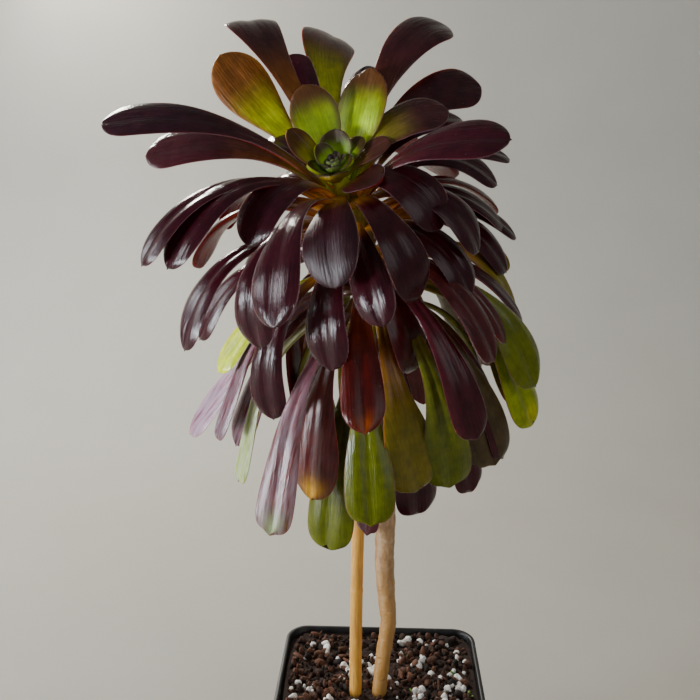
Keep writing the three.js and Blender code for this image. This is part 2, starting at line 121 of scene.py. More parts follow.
ARCHING_LEAVES = (
    Leaf(10, 35, 26, 18, 30, 5, 5, "dusk"),
    Leaf(13, 100, 55, 20, 55, -25, 20, "dusk_green"),
    Leaf(14, -15, 54, 25, 30, -60, 10, "dark_satin"),
    Leaf(15, 50, 58, 20, 50, -90, 10, "dark"),
    Leaf(16, -105, 88, 20, 60, -5, -20, "limb"),
    Leaf(16, -60, 58, 20, 70, -55, -20, "dark"),
    Leaf(16, 120, 84, 20, 40, -30, 45, "dusk"),
    Leaf(18, -175, 72, 15, 65, 20, 0, "dark"),
    Leaf(19, -100, 108, 20, 70, 5, -15, "limb_dark"),
    Leaf(19, 155, 66, 16, 50, 10, -5, "dark"),
    Leaf(20, 20, 75, 20, 45, -105, -20, "dark"),
    Leaf(20, 65, 76, 20, 45, -15, 15, "dark"),
    Leaf(22, -25, 94, 22, 55, -50, 10, "dark"),
    Leaf(22, 60, 70, 19, 35, -90, 0, "dark"),
    Leaf(22, 120, 70, 16, 45, -35, 25, "dark"),
    Leaf(24, -145, 68, 18, 70, -25, 0, "dark"),
    Leaf(24, -70, 96, 22, 70, -45, -15, "dark"),
    Leaf(24, 85, 72, 17, 50, -65, 10, "dark"),
    Leaf(25, 105, 78, 18, 30, -45, 10, "dark"),
    Leaf(28, -75, 106, 18, 70, -40, -5, "dark"),
    Leaf(28, 0, 62, 18, 20, -60, 25, "dark"),
    Leaf(28, 95, 72, 17, 15, -70, 10, "dark"),
    Leaf(30, -115, 80, 17, 70, -60, 20, "dark"),
    Leaf(32, -50, 90, 19, 55, -85, -15, "dark"),
    Leaf(32, 50, 66, 18, 20, -90, 0, "dark"),
    Leaf(32, 100, 82, 16, -5, -80, 40, "dark"),
    Leaf(34, -30, 68, 21, 10, -80, 5, "dark"),
    Leaf(34, 100, 78, 15, 10, -65, 15, "dark"),
    Leaf(36, -100, 90, 17, 60, -55, 25, "dark"),
    Leaf(40, 15, 66, 24, -15, -110, -35, "wine"),
    Leaf(42, -70, 104, 19, 50, -60, -10, "dark"),
    Leaf(42, -15, 82, 18, -25, -45, -20, "wine_spot"),
    Leaf(42, 40, 84, 20, 10, -85, -20, "wine"),
    Leaf(44, -60, 94, 18, 10, -85, -30, "dark"),
)
SKIRT_LEAVES = (
    Leaf(44, 100, 92, 17, -5, -90, 30, "olive"),
    Leaf(44, 90, 84, 16, -15, -75, 5, "dark"),
    Leaf(46, 60, 76, 16, 0, -80, -15, "wine"),
    Leaf(48, -90, 94, 15, 35, -50, -25, "plum"),
    Leaf(50, -80, 84, 15, 10, -40, -20, "lime"),
    Leaf(50, 25, 100, 16, 0, -85, 5, "plum"),
    Leaf(50, 70, 100, 22, -10, -80, 25, "green"),
    Leaf(52, -90, 122, 20, -15, -40, -15, "lavender"),
    Leaf(54, -90, 114, 19, -15, -55, -40, "mauve"),
    Leaf(54, 95, 108, 21, -25, -80, 45, "olive"),
    Leaf(56, -50, 104, 25, -30, -65, -15, "bronze"),
    Leaf(58, 80, 110, 23, -15, -80, 30, "green_tip"),
    Leaf(60, -75, 108, 14, 20, -55, -10, "mauve"),
    Leaf(60, 0, 104, 26, -20, -95, -30, "olive"),
    Leaf(60, 25, 112, 22, -20, -100, 15, "green"),
    Leaf(60, 60, 106, 25, -35, -85, 30, "grey_green"),
    Leaf(62, -50, 120, 18, -15, -60, -30, "mauve_green"),
    Leaf(62, 70, 106, 16, -30, -85, 15, "plum"),
    Leaf(66, 50, 106, 17, -40, -90, 15, "plum"),
    Leaf(68, -75, 114, 16, 5, -65, -10, "pale_green"),
    Leaf(68, -20, 100, 22, -35, -70, -20, "green"),
    Leaf(70, -50, 114, 25, -50, -70, -20, "green"),
    Leaf(74, 20, 104, 22, -60, -100, 0, "plum"),
    Leaf(78, -25, 96, 16, -50, -75, 20, "plum"),
)
# Leaves of the far side grow in whorls that nest under each other, by turns wide and narrow
BACK_COUNT = 10
BACK_DEPTH = 22
BACK_STEP = 6
BACK_MIDDLE = 184
BACK_TOP_HALF = 30
BACK_WIDENING = 18
BACK_WIDE = 66
BACK_NARROW = 50
BACK_SPACING = 16
BUD_LEAVES = 14
GOLDEN_ANGLE = 137.508

# ---- Colours ----


def srgb(red, green, blue):
    """Linear colour from screen values of 0 to 255"""
    return tuple((c / 255) ** 2.2 for c in (red, green, blue))


Look = namedtuple("Look", "root mid end rim under spot bloom fade satin")


def colours(root, mid, end, rim, under, spot=None, bloom=0.0, fade=0.34, satin=0.0):
    """Colours along a leaf, of its margin, underside and end spot, then its bloom, fade and dullness"""
    tones = (srgb(*tone) for tone in (root, mid, end, rim, under))
    return Look(*tones, spot and srgb(*spot), bloom, fade, satin)


# The bright yellow and golden root colours are partly the leaves' own base colour and partly painted glow,
# made brighter to stand for light shining through the leaf
LOOKS = {
    "bud": colours((110, 150, 10), (84, 112, 14), (60, 34, 30), (70, 24, 36), (90, 110, 30), bloom=0.1),
    # The crown's looks, from heart to ember, also carry painted glow in their middles: light shining through
    # the young leaves is painted as brighter yellow-green and orange
    "heart": colours((206, 236, 0), (128, 166, 10), (66, 50, 26), (90, 26, 40), (140, 160, 10), fade=0.44),
    "heart_dark": colours((170, 190, 0), (88, 60, 26), (50, 24, 24), (60, 18, 28), (120, 100, 10)),
    "heart_warm": colours(
        (210, 220, 0), (156, 150, 4), (84, 50, 18), (100, 26, 36), (160, 120, 0), fade=0.44
    ),
    "heart_brown": colours((180, 200, 0), (110, 84, 36), (70, 38, 32), (80, 24, 30), (130, 100, 10)),
    "glow": colours((234, 250, 0), (164, 196, 10), (86, 54, 28), (96, 26, 40), (180, 170, 10), fade=0.54),
    "sunset": colours((234, 248, 0), (160, 172, 12), (112, 68, 28), (140, 40, 46), (116, 84, 20), fade=0.48),
    "sunset_tall": colours(
        (236, 248, 0), (172, 180, 0), (84, 34, 24), (170, 56, 70), (96, 44, 22), fade=0.44
    ),
    "sunset_dark": colours(
        (240, 226, 0), (146, 88, 20), (70, 36, 36), (144, 54, 64), (92, 38, 26), fade=0.36
    ),
    "ember": colours((236, 206, 0), (108, 56, 30), (64, 30, 33), (100, 42, 52), (84, 32, 26)),
    "dusk": colours((180, 180, 6), (76, 38, 28), (58, 22, 28), (104, 52, 62), (116, 26, 26)),
    "dusk_green": colours(
        (206, 230, 6), (110, 100, 34), (72, 36, 38), (130, 80, 92), (120, 40, 28), fade=0.4
    ),
    "limb": colours((214, 224, 0), (104, 68, 32), (68, 34, 40), (130, 70, 82), (120, 26, 26)),
    "limb_dark": colours((170, 110, 14), (68, 33, 34), (56, 28, 37), (116, 62, 72), (116, 24, 24)),
    "dark": colours((244, 172, 10), (69, 25, 31), (54, 19, 28), (100, 56, 66), (124, 18, 18)),
    "dark_satin": colours(
        (244, 172, 10), (58, 24, 30), (48, 20, 28), (100, 56, 66), (124, 18, 18), satin=1.0
    ),
    "wine": colours((210, 140, 16), (98, 40, 35), (72, 24, 28), (106, 40, 50), (130, 36, 22)),
    "wine_spot": colours(
        (210, 140, 20), (120, 56, 34), (78, 21, 18), (116, 26, 30), (136, 56, 26), (146, 66, 4)
    ),
    "bronze": colours(
        (130, 100, 50), (104, 46, 34), (84, 26, 20), (150, 24, 24), (120, 66, 30), (226, 166, 0), 0.04
    ),
    "plum": colours((120, 82, 34), (76, 28, 35), (60, 18, 28), (84, 34, 46), (100, 28, 36)),
    "lavender": colours(
        (120, 84, 104), (128, 84, 112), (146, 88, 112), (200, 104, 128), (126, 98, 70), bloom=0.5
    ),
    "mauve": colours((130, 92, 84), (114, 52, 70), (84, 22, 38), (120, 44, 62), (116, 86, 50), bloom=0.24),
    "mauve_green": colours(
        (140, 104, 90), (120, 62, 74), (110, 52, 50), (140, 60, 84), (116, 104, 64), (112, 140, 6), 0.3
    ),
    "green": colours((156, 144, 22), (102, 104, 28), (88, 94, 6), (112, 62, 46), (130, 136, 30)),
    "green_tip": colours(
        (136, 132, 30), (112, 112, 26), (134, 146, 10), (150, 40, 30), (140, 146, 20), (170, 166, 0)
    ),
    "grey_green": colours((116, 110, 44), (84, 66, 46), (72, 58, 36), (84, 46, 46), (110, 108, 40)),
    "pale_green": colours(
        (160, 154, 116), (172, 178, 130), (150, 172, 44), (150, 110, 90), (160, 170, 60), bloom=0.45
    ),
    "lime": colours((176, 192, 10), (186, 204, 0), (200, 214, 0), (232, 226, 214), (170, 190, 20)),
    "olive": colours((168, 150, 6), (132, 84, 34), (108, 96, 10), (150, 56, 40), (130, 122, 24)),
}
PALE_BLOOM = srgb(206, 200, 214)
BACK_LOOKS_HIGH = ("dark", "dark", "wine")
BACK_LOOKS_MIDDLE = ("wine", "plum", "bronze", "mauve", "olive")
BACK_LOOKS_LOW = ("green", "olive", "plum", "mauve_green", "grey_green", "green")

# ---- Small helpers ----


def smooth(x):
    x = np.clip(x, 0.0, 1.0)
    return x * x * (3 - 2 * x)


def unit(v):
    return v / np.linalg.norm(v, axis=-1, keepdims=True)


class Seeded:
    """Repeatable numbers from 0 to 1, the same as in the CAD source"""

    def __init__(self, seed):
        self.state = seed

    def next(self):
        self.state = (self.state * 16807) % 2147483647
        return self.state / 2147483647

    def around(self, value, spread):
        return value + (self.next() * 2 - 1) * spread


def new_object(name, data):
    obj = bpy.data.objects.new(name, data)
    bpy.context.scene.collection.objects.link(obj)
    return obj


class MeshData:
    """Gathers rows of points and faces into one mesh with its point attributes"""

    def __init__(self):
        self.points = []
        self.faces = []
        self.attributes = {}
        self.count = 0

    def add(self, points, faces, **attributes):
        self.points.append(points)
        self.faces.extend(tuple(i + self.count for i in face) for face in faces)
        self.count += len(points)
        for name, values in attributes.items():
            values = np.broadcast_to(np.asarray(values, float), (len(points), np.shape(values)[-1]))
            self.attributes.setdefault(name, []).append(values)

    def build(self, name, material, slot, *nodes, flat=False):
        mesh = bpy.data.meshes.new(name)
        mesh.from_pydata(np.vstack(self.points) * MM, [], self.faces)
        for key, rows in self.attributes.items():
            values = np.vstack(rows).astype(np.float32)
            kind, field = ("FLOAT_VECTOR", "vector") if values.shape[1] == 3 else ("FLOAT", "value")
            mesh.attributes.new(key, kind, "POINT").data.foreach_set(field, values.ravel())
        mesh.validate()
        mesh.polygons.foreach_set("use_smooth", [not flat] * len(mesh.polygons))
        mesh.materials.append(material)
        obj = new_object(name, mesh)
        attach(obj, "root")
        if nodes:
            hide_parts(*nodes)
        return obj


def grid_faces(rows, columns):
    """Quads between rows of points, closed round the columns"""
    faces = []
    for i in range(rows - 1):
        for j in range(columns):
            k = (j + 1) % columns
            faces.append((i * columns + j, i * columns + k, (i + 1) * columns + k, (i + 1) * columns + j))
    return faces


def fan(columns, start, centre):
    """Triangles between a ring of points and the point at its centre"""
    return [(start + j, start + (j + 1) % columns, centre) for j in range(columns)]


def closed_faces(rows, columns):
    """Faces of a form made of rings, where its last two points are the centres of the first and last ring"""
    count = rows * columns
    first = [face[::-1] for face in fan(columns, 0, count)]
    return grid_faces(rows, columns) + first + fan(columns, count - columns, count + 1)


# ---- Node materials ----


class Nodes:
    """Short forms for wiring a material"""

    def __init__(self, name):
        self.material = bpy.data.materials.new(name)
        self.material.use_nodes = True
        self.tree = self.material.node_tree
        self.shader = self.tree.nodes["Principled BSDF"]

    def link(self, value, socket):
        """Wires another node's output to a socket, or gives the socket a number, vector or colour"""
        if hasattr(value, "is_output"):
            self.tree.links.new(value, socket)
        else:
            socket.default_value = (*value, 1.0) if socket.type == "RGBA" else value

    def put(self, kind, inputs, **settings):
        node = self.tree.nodes.new(kind)
        for key, value in settings.items():
            setattr(node, key, value)
        for key, value in inputs.items():
            self.link(value, node.inputs[key])
        return node

    def attribute(self, name, output="Vector"):
        return self.put("ShaderNodeAttribute", {}, attribute_name=name).outputs[output]

    def noise(self, vector, scale, detail=3.0, roughness=0.5, stretch=None):
        if stretch:
            vector = self.put("ShaderNodeMapping", {"Vector": vector, "Scale": stretch}).outputs["Vector"]
        inputs = {"Vector": vector, "Scale": scale, "Detail": detail, "Roughness": roughness}
        return self.put("ShaderNodeTexNoise", inputs).outputs["Fac"]

    def voronoi(self, vector, scale):
        return self.put("ShaderNodeTexVoronoi", {"Vector": vector, "Scale": scale}).outputs["Distance"]

    def ramp(self, value, low, high, to_low=0.0, to_high=1.0):
        inputs = {"Value": value, "From Min": low, "From Max": high, "To Min": to_low, "To Max": to_high}
        return self.put("ShaderNodeMapRange", inputs, interpolation_type="SMOOTHSTEP").outputs["Result"]

    def math(self, operation, a, b=0.5):
        return self.put("ShaderNodeMath", {0: a, 1: b}, operation=operation).outputs[0]

    def mix(self, share, a, b, blend="MIX"):
        inputs = {"Factor": share, "A": a, "B": b}
        return self.put("ShaderNodeMix", inputs, data_type="RGBA", blend_type=blend).outputs["Result"]

    def parts(self, vector):
        node = self.put("ShaderNodeSeparateXYZ", {"Vector": vector})
        return [node.outputs[axis] for axis in "XYZ"]

    def bump(self, height, distance, under=None):
        inputs = {"Height": height, "Distance": distance * MM, "Strength": 1.0}
        if under:
            inputs["Normal"] = under
        return self.put("ShaderNodeBump", inputs).outputs["Normal"]

    def place(self):
        """Position on the object, in millimetres"""
        metres = self.put("ShaderNodeTexCoord", {}).outputs["Object"]
        return self.put("ShaderNodeVectorMath", {0: metres, "Scale": 1 / MM}, operation="SCALE").outputs[0]

    def finish(self, colour, roughness, normal=None, constants=None):
        inputs = {"Base Color": colour, "Roughness": roughness, **(constants or {})}
        if normal:
            inputs["Normal"] = normal
        for key, value in inputs.items():
            self.link(value, self.shader.inputs[key])
        return self.material


def leaf_material():
    n = Nodes("leaf_skin")
    grain = n.attribute("grain")
    across, bloom, dull = n.parts(n.attribute("traits"))
    tint = n.attribute("tint")
    rim_colour = n.attribute("rim")
    # Streaks run along the blade, and clouds of light and dark lie over them
    streaks = n.noise(grain, 1.0, 4.0, 0.6, stretch=(1.3, 0.12, 1.0))
    mottle = n.noise(grain, 0.16, 3.0, 0.55)
    colour = n.mix(1.0, tint, n.ramp(streaks, 0.25, 0.75, 0.82, 1.16), "MULTIPLY")
    colour = n.mix(1.0, colour, n.ramp(mottle, 0.3, 0.7, 0.8, 1.2), "MULTIPLY")
    # Pale bloom in stripes, pale specks and a coloured margin
    dust = n.noise(grain, 0.8, 3.0, 0.55, stretch=(0.9, 0.07, 1.0))
    dusted = n.math("MULTIPLY", bloom, n.ramp(dust, 0.28, 0.66))
    colour = n.mix(dusted, colour, PALE_BLOOM)
    specks = n.voronoi(grain, 0.33)
    speck = n.math("MULTIPLY", n.ramp(specks, 0.05, 0.02), 0.3)
    colour = n.mix(speck, colour, PALE_BLOOM)
    edge = n.ramp(n.math("ABSOLUTE", across), 0.955, 0.995)
    colour = n.mix(n.math("MULTIPLY", edge, 0.75), colour, rim_colour)
    # Waxy gloss: dusted and young leaves are duller
    roughness = n.math("ADD", n.ramp(streaks, 0.3, 0.8, 0.12, 0.22), n.math("MULTIPLY", dusted, 0.15))
    roughness = n.math("ADD", roughness, n.math("MULTIPLY", dull, 0.22))
    fine = n.noise(grain, 3.2, 3.0, 0.6, stretch=(1.0, 0.4, 1.0))
    wrinkles = n.noise(grain, 0.55, 3.0, 0.5, stretch=(1.0, 0.06, 1.0))
    normal = n.bump(wrinkles, 0.35)
    normal = n.bump(streaks, 0.2, under=normal)
    normal = n.bump(fine, 0.05, under=normal)
    flesh = {"Subsurface Weight": 0.3, "Subsurface Scale": 0.004, "Subsurface Radius": (1.0, 0.8, 0.15)}
    return n.finish(colour, roughness, normal, {"Specular IOR Level": 0.3, **flesh})


def cilia_material():
    n = Nodes("leaf_cilia")
    noise = n.noise(n.place(), 0.2)
    colour = n.mix(noise, srgb(226, 214, 222), srgb(190, 150, 168))
    return n.finish(colour, 0.5)


def bark_material():
    n = Nodes("stem_bark")
    place = n.place()
    along = n.noise(place, 0.5, 5.0, 0.6, stretch=(1.0, 1.0, 0.35))
    rings = n.noise(place, 0.9, 4.0, 0.65, stretch=(0.35, 0.35, 1.4))
    colour = n.mix(n.ramp(along, 0.3, 0.7), srgb(146, 110, 74), srgb(190, 152, 110))
    colour = n.mix(n.ramp(rings, 0.55, 0.75, 0.0, 0.45), colour, srgb(128, 84, 62))
    scar = n.attribute("scar", "Fac")
    colour = n.mix(n.math("MULTIPLY", scar, 0.4), colour, srgb(196, 170, 144))
    # Lower stem turns golden: partly its own golden-brown, partly painted sunlight on it
    low_gold_and_sunlight = n.ramp(n.parts(place)[2], 120, 185, 0.75, 0.0)
    colour = n.mix(low_gold_and_sunlight, colour, srgb(176, 126, 56))
    normal = n.bump(rings, 0.35)
    normal = n.bump(n.noise(place, 2.2, 4.0), 0.12, under=normal)
    return n.finish(colour, n.ramp(along, 0.3, 0.7, 0.34, 0.5), normal)


def cane_material():
    n = Nodes("cane_skin")
    place = n.place()
    fibres = n.noise(place, 1.6, 4.0, 0.6, stretch=(1.6, 1.6, 0.04))
    blotch = n.noise(place, 0.12, 3.0, 0.5, stretch=(1.0, 1.0, 0.4))
    colour = n.mix(n.ramp(fibres, 0.3, 0.7), srgb(196, 134, 48), srgb(226, 170, 78))
    colour = n.mix(n.ramp(blotch, 0.5, 0.7, 0.0, 0.4), colour, srgb(176, 120, 56))
    normal = n.bump(fibres, 0.1)
    return n.finish(colour, n.ramp(fibres, 0.3, 0.7, 0.34, 0.5), normal)


def pot_material():
    n = Nodes("pot_plastic")
    place = n.place()
    grain = n.noise(place, 4.0, 2.0, 0.5)
    wear = n.noise(place, 0.08, 5.0, 0.65)
    colour = n.mix(n.ramp(wear, 0.55, 0.75, 0.0, 0.5), srgb(26, 26, 28), srgb(52, 50, 50))
    dust = n.noise(place, 0.5, 5.0, 0.7)
    colour = n.mix(n.ramp(dust, 0.62, 0.8, 0.0, 0.25), colour, srgb(110, 98, 84))
    normal = n.bump(grain, 0.05)
    return n.finish(colour, n.ramp(wear, 0.3, 0.7, 0.34, 0.52), normal)


def soil_material():
    n = Nodes("potting_mix")
    place = n.place()
    tone = n.attribute("tone", "Fac")
    fibre = n.noise(place, 1.1, 5.0, 0.7)
    colour = n.mix(tone, srgb(24, 16, 12), srgb(122, 82, 62))
    colour = n.mix(n.ramp(fibre, 0.4, 0.75, 0.0, 0.6), colour, srgb(50, 32, 24))
    normal = n.bump(fibre, 0.5)
    return n.finish(colour, 0.9, normal)


def perlite_material():
    n = Nodes("perlite")
    place = n.place()
    pores = n.noise(place, 2.4, 4.0, 0.6)
    stain = n.noise(place, 0.5, 3.0, 0.5)
    colour = n.mix(n.ramp(stain, 0.5, 0.8, 0.0, 0.6), srgb(240, 238, 232), srgb(196, 180, 160))
    return n.finish(colour, 0.75, n.bump(pores, 0.25))


def sprout_material():
    n = Nodes("sprout_green")
    noise = n.noise(n.place(), 0.8)
    return n.finish(n.mix(noise, srgb(70, 120, 24), srgb(130, 170, 50)), 0.45)


# ---- Leaf shapes ----

PETIOLE_WIDTH = 5.2
ROUND_END = 0.68
STATION_STEP = 3.2
LATE_BEND = 2.5
SPINE_STEPS = 48
SPINE = np.linspace(0, 1, SPINE_STEPS + 1)
END_STATION = 0.9994
TOP_POINTS = 17
UNDER_POINTS = 9
# Places round a blade, from -1 at its left margin to 1 at its right, first above and then below
ABOVE = np.sin(np.linspace(-1, 1, TOP_POINTS) * math.pi / 2)
BELOW = np.sin(np.linspace(1, -1, UNDER_POINTS + 2)[1:-1] * math.pi / 2)
ACROSS = np.concatenate([ABOVE, BELOW])
UNDER = np.arange(len(ACROSS)) >= TOP_POINTS


def shoot_point(depth):
    """Place on the shoot's middle line and its upward direction"""
    t = min(1.0, depth / SHOOT_LENGTH)
    a, b, c, d = SHOOT_CURVE
    s = 1 - t
    at = a * s**3 + 3 * b * s * s * t + 3 * c * s * t * t + d * t**3
    slope = (b - a) * s * s + 2 * (c - b) * s * t + (d - c) * t * t
    return at, -unit(slope)


def shoot_axes(depth):
    at, up = shoot_point(depth)
    front = np.array([0.0, -1.0, 0.0])
    front = unit(front - up * (front @ up))
    return at, up, front, np.cross(up, front)


def bend(t, depth, late):
    """Share of the way from rise to hang; old leaves have bent fully well before their end"""
    reach = 1 - 0.3 * smooth((depth - 44) / 12)
    x = np.clip(t / reach, 0, 1)
    return x**LATE_BEND if late else 0.5 * x + 0.5 * smooth(x)


def widest_place(leaf):
    return max(0.5, 1 - ROUND_END * leaf.width / leaf.length)


def half_width(t, leaf):
    """Half width in millimetres: a narrow stalk, widest a little before the round end"""
    petiole = min(0.6, PETIOLE_WIDTH / leaf.width)
    widest = widest_place(leaf)
    power = 1.1 + 1.5 * smooth((leaf.length - 60) / 45)
    rising = petiole + (1 - petiole) * smooth(t / widest) ** power
    x = np.clip((t - widest) / (1 - widest), 0, 1)
    old = smooth((leaf.depth - 52) / 10)
    falling = np.maximum(0, 1 - x ** (2.2 + old)) ** (0.56 - 0.24 * old)
    return np.where(t < widest, rising, falling) * leaf.width / 2


def leaf_spine(leaf, late):
    """Middle line of a leaf, and at each of its points the ways ahead, to the side and out of the blade"""
    at, up, front, right = shoot_axes(leaf.depth)
    turn = math.radians(leaf.turn)
    out = math.cos(turn) * front + math.sin(turn) * right
    across = np.cross(up, out)
    halfway = SPINE[:-1] + 0.5 / SPINE_STEPS
    slope = np.radians(leaf.rise + (leaf.hang - leaf.rise) * bend(SPINE, leaf.depth, late))
    middle = np.radians(leaf.rise + (leaf.hang - leaf.rise) * bend(halfway, leaf.depth, late))
    step = leaf.length / SPINE_STEPS
    reach = min(3.5, 0.6 + 0.25 * leaf.depth) + np.concatenate([[0], np.cumsum(np.cos(middle) * step)])
    climb = np.concatenate([[0], np.cumsum(np.sin(middle) * step)])
    centre = at + np.outer(reach, out) + np.outer(climb, up)
    ahead = np.outer(np.cos(slope), out) + np.outer(np.sin(slope), up)
    face = np.outer(np.cos(slope), up) - np.outer(np.sin(slope), out)
    turned = np.radians(leaf.twist) * smooth((SPINE - 0.1) / 0.5)[:, None]
    side = np.cos(turned) * across + np.sin(turned) * face
    lift = np.cos(turned) * face - np.sin(turned) * across
    return centre, ahead, side, lift


def stations(leaf):
    """Even steps to the widest place, then closer and closer towards the round end"""
    widest = widest_place(leaf)
    even = max(8, int(leaf.length * widest / STATION_STEP))
    end = max(8, int(leaf.width * 0.8))
    body = np.linspace(0, widest, even, endpoint=False)
    turn = np.linspace(0, 1, end + 1)[:-1] * math.pi / 2
    return np.concatenate([body, widest + (1 - widest) * np.sin(turn), [END_STATION]])


def resample(rows, t):
    return np.stack([np.interp(t, SPINE, rows[:, k]) for k in range(3)], -1)


FADE_LENGTH = 0.36
MARGIN_SHARE = 0.75
SPOT_SHARE = 0.9


def leaf_colours(leaf, t, u, random):
    """Colour of every point: from the root through the middle to the end, young leaves with a dark margin.
    The bright roots are partly their own yellow-green and partly painted glow of light shining through the
    leaf
    """
    look = LOOKS[leaf.look]
    root, mid, end, below = (np.array(c) for c in (look.root, look.mid, look.end, look.under))
    shift = random.around(0, 0.05)
    first = smooth((t - 0.06) / (look.fade - 0.03 + shift))[..., None]
    last = smooth((t - look.fade - shift) / FADE_LENGTH)[..., None]
    tint = root + (mid - root) * first
    tint = tint + (end - tint) * last
    young = 1 - smooth((leaf.depth - 12) / 6)
    margin = smooth((np.abs(u) - 0.66) / 0.3) * smooth((t - 0.15) / 0.3) * MARGIN_SHARE * young
    tint = tint + (end - tint) * margin[..., None]
    if look.spot:
        spot = np.exp(-(((u - 0.1) / 0.55) ** 2) - ((t - 0.97) / 0.055) ** 2)[..., None]
        tint = tint + (np.array(look.spot) - tint) * spot * SPOT_SHARE
    # Undersides are partly their own red and partly painted glow of light shining through the leaf; near the
    # root they take on the root's colour
    beneath = below + (root - below) * (1 - first) * 0.7
    tint = np.where(UNDER[:, None], beneath, tint)
    return tint * random.around(1, 0.12)


ROOT_OVERLAP = 2.2
LOBE = 0.05
OLD_LOBE = 0.11
KEEL = 3.4
EDGE = 0.28
RIPPLE = 0.035
SCALLOP = 0.9
UNDERSIDE_OFFSET = 60
GRAIN_SHIFT = 900


def fold_share(leaf):
    """How deep the groove of a leaf is: young leaves are plain spoons"""
    return smooth((leaf.depth - 16) / 12)


def skin_heights(leaf, t, half, wave):
    """Heights of the blade's skin: two lobes beside a groove above, a keel below and a thin edge"""
    u = ACROSS
    half = half[:, None]
    t = t[:, None]
    cup = 0.28 * (1 - smooth(leaf.length / 45)) - 0.04
    lobe = LOBE + OLD_LOBE * fold_share(leaf)
    swell = 1 + 0.14 * np.sin(t * 9 + wave)
    shape = cup * u**2 + lobe * np.abs(np.sin(u * math.pi)) ** 1.2 * (1 - 0.3 * np.abs(u)) * swell
    thick = np.minimum(half * 0.62, KEEL - 1.5 * smooth(t * 2) - 0.6 * smooth(t * 2 - 1))
    edge = np.minimum(EDGE, thick * 0.3)
    rounding = np.sqrt(np.clip(1 - np.abs(u) ** 6, 0, 1))
    top = half * shape + edge * (rounding - 0.4)
    bottom = half * cup * u**2 - thick * (1 - np.abs(u) ** 2.6) ** 0.7 - edge * rounding
    ripple = RIPPLE * half * np.sin(t * 13 + wave * 2) * u**2 * np.sign(u)
    return np.where(UNDER, bottom, top) + ripple * smooth(leaf.length / 60)


def skin_attributes(leaf, t, half, random):
    """Colours, places in the grain and traits of a blade's points, and then of its root and tip"""
    look = LOOKS[leaf.look]
    shape = (len(t), len(ACROSS))
    t = np.broadcast_to(t[:, None], shape)
    u = np.broadcast_to(ACROSS, shape)
    tint = leaf_colours(leaf, t, u, random)
    seed = random.next() * GRAIN_SHIFT
    mm_across = u * half[:, None] + np.where(UNDER, UNDERSIDE_OFFSET, 0)
    grain = np.stack([mm_across, t * leaf.length, np.full(shape, seed)], -1)
    bloom = look.bloom * (0.35 + 0.65 * smooth((t - 0.3) / 0.3)) * np.where(UNDER, 0.5, 1)
    dull = max(look.satin, 1 - smooth((leaf.depth - 7) / 10))
    traits = np.stack([u, bloom, np.full(shape, dull)], -1)
    return {
        "tint": np.vstack([tint.reshape(-1, 3), look.root, look.rim]),
        "grain": np.vstack([grain.reshape(-1, 3), grain[0, 0], grain[-1, 0]]),
        "traits": np.vstack([traits.reshape(-1, 3), (0, 0, dull), (1, 0, dull)]),
        "rim": np.array(look.rim),
    }


def add_leaf(data, fringe, leaf, random, late):
    """One leaf as a closed fleshy blade with a point at its end"""
    t = stations(leaf)
    centre, ahead, side, lift = (resample(rows, t) for rows in leaf_spine(leaf, late))
    half = half_width(t, leaf)
    centre[0] -= ahead[0] * ROOT_OVERLAP
    half[0] *= 0.6
    wave = random.around(0, math.pi)
    height = skin_heights(leaf, t, half, wave)
    sideways = side[:, None] * (half[:, None] * ACROSS)[..., None]
    points = centre[:, None] + sideways + lift[:, None] * height[..., None]
    # Old leaves end bluntly, in uneven low lobes
    scallop = np.sin(ACROSS * 4.2 + wave) * SCALLOP * smooth((leaf.depth - 50) / 12)
    points = points + ahead[:, None] * (scallop * smooth((t - 0.8) / 0.2)[:, None])[..., None]
    tip = centre[-1] + ahead[-1] * (0.7 + 0.5 * fold_share(leaf)) - lift[-1] * 0.15
    flat = np.vstack([points.reshape(-1, 3), centre[0], tip])
    faces = closed_faces(len(t), len(ACROSS))
    data.add(flat, faces, **skin_attributes(leaf, t, half, random))
    add_cilia(fringe, leaf, points, side, ahead, lift, t, random)


CILIA_SPACING = 0.75
CILIA_LENGTH = 0.42
CILIA_RADIUS = 0.05


def add_cilia(fringe, leaf, points, side, ahead, lift, t, random):
    """Row of tiny teeth-like hairs along both margins"""
    count = int(leaf.length / CILIA_SPACING)
    where = np.linspace(0.12, 0.985, count)
    for column, sign in ((0, -1), (TOP_POINTS - 1, 1)):
        base = np.stack([np.interp(where, t, points[:, column, k]) for k in range(3)], -1)
        away = np.stack([np.interp(where, t, (side * sign + ahead * 0.5)[:, k]) for k in range(3)], -1)
        up = np.stack([np.interp(where, t, lift[:, k]) for k in range(3)], -1)
        along = unit(np.gradient(base, axis=0))
        length = CILIA_LENGTH * np.array([random.around(1, 0.4) for _ in where])
        tips = base + unit(away) * length[:, None]
        ahead_corner = base + along * CILIA_RADIUS
        upper_corner = base - along * CILIA_RADIUS + up * CILIA_RADIUS
        lower_corner = base - up * CILIA_RADIUS
        rows = np.stack([ahead_corner, upper_corner, lower_corner, tips], 1).reshape(-1, 3)
        faces = []
        for i in range(count):
            a, b, c, d = (4 * i + k for k in range(4))
            faces += [(a, b, d), (b, c, d), (c, a, d), (c, b, a)]
        fringe.add(rows, faces)


def bud_leaves():
    """The green bud: a spiral of leaves that grow outwards"""
    leaves = []
    for i in range(BUD_LEAVES):
        n = i * 8 / BUD_LEAVES
        row = (0.3 + 0.3 * n, i * GOLDEN_ANGLE, 3.0 + 0.55 * n, 2.6 + 0.55 * n, 80 - 4 * n, 66 - 5 * n, 0)
        leaves.append(Leaf(*row, "bud"))
    return leaves


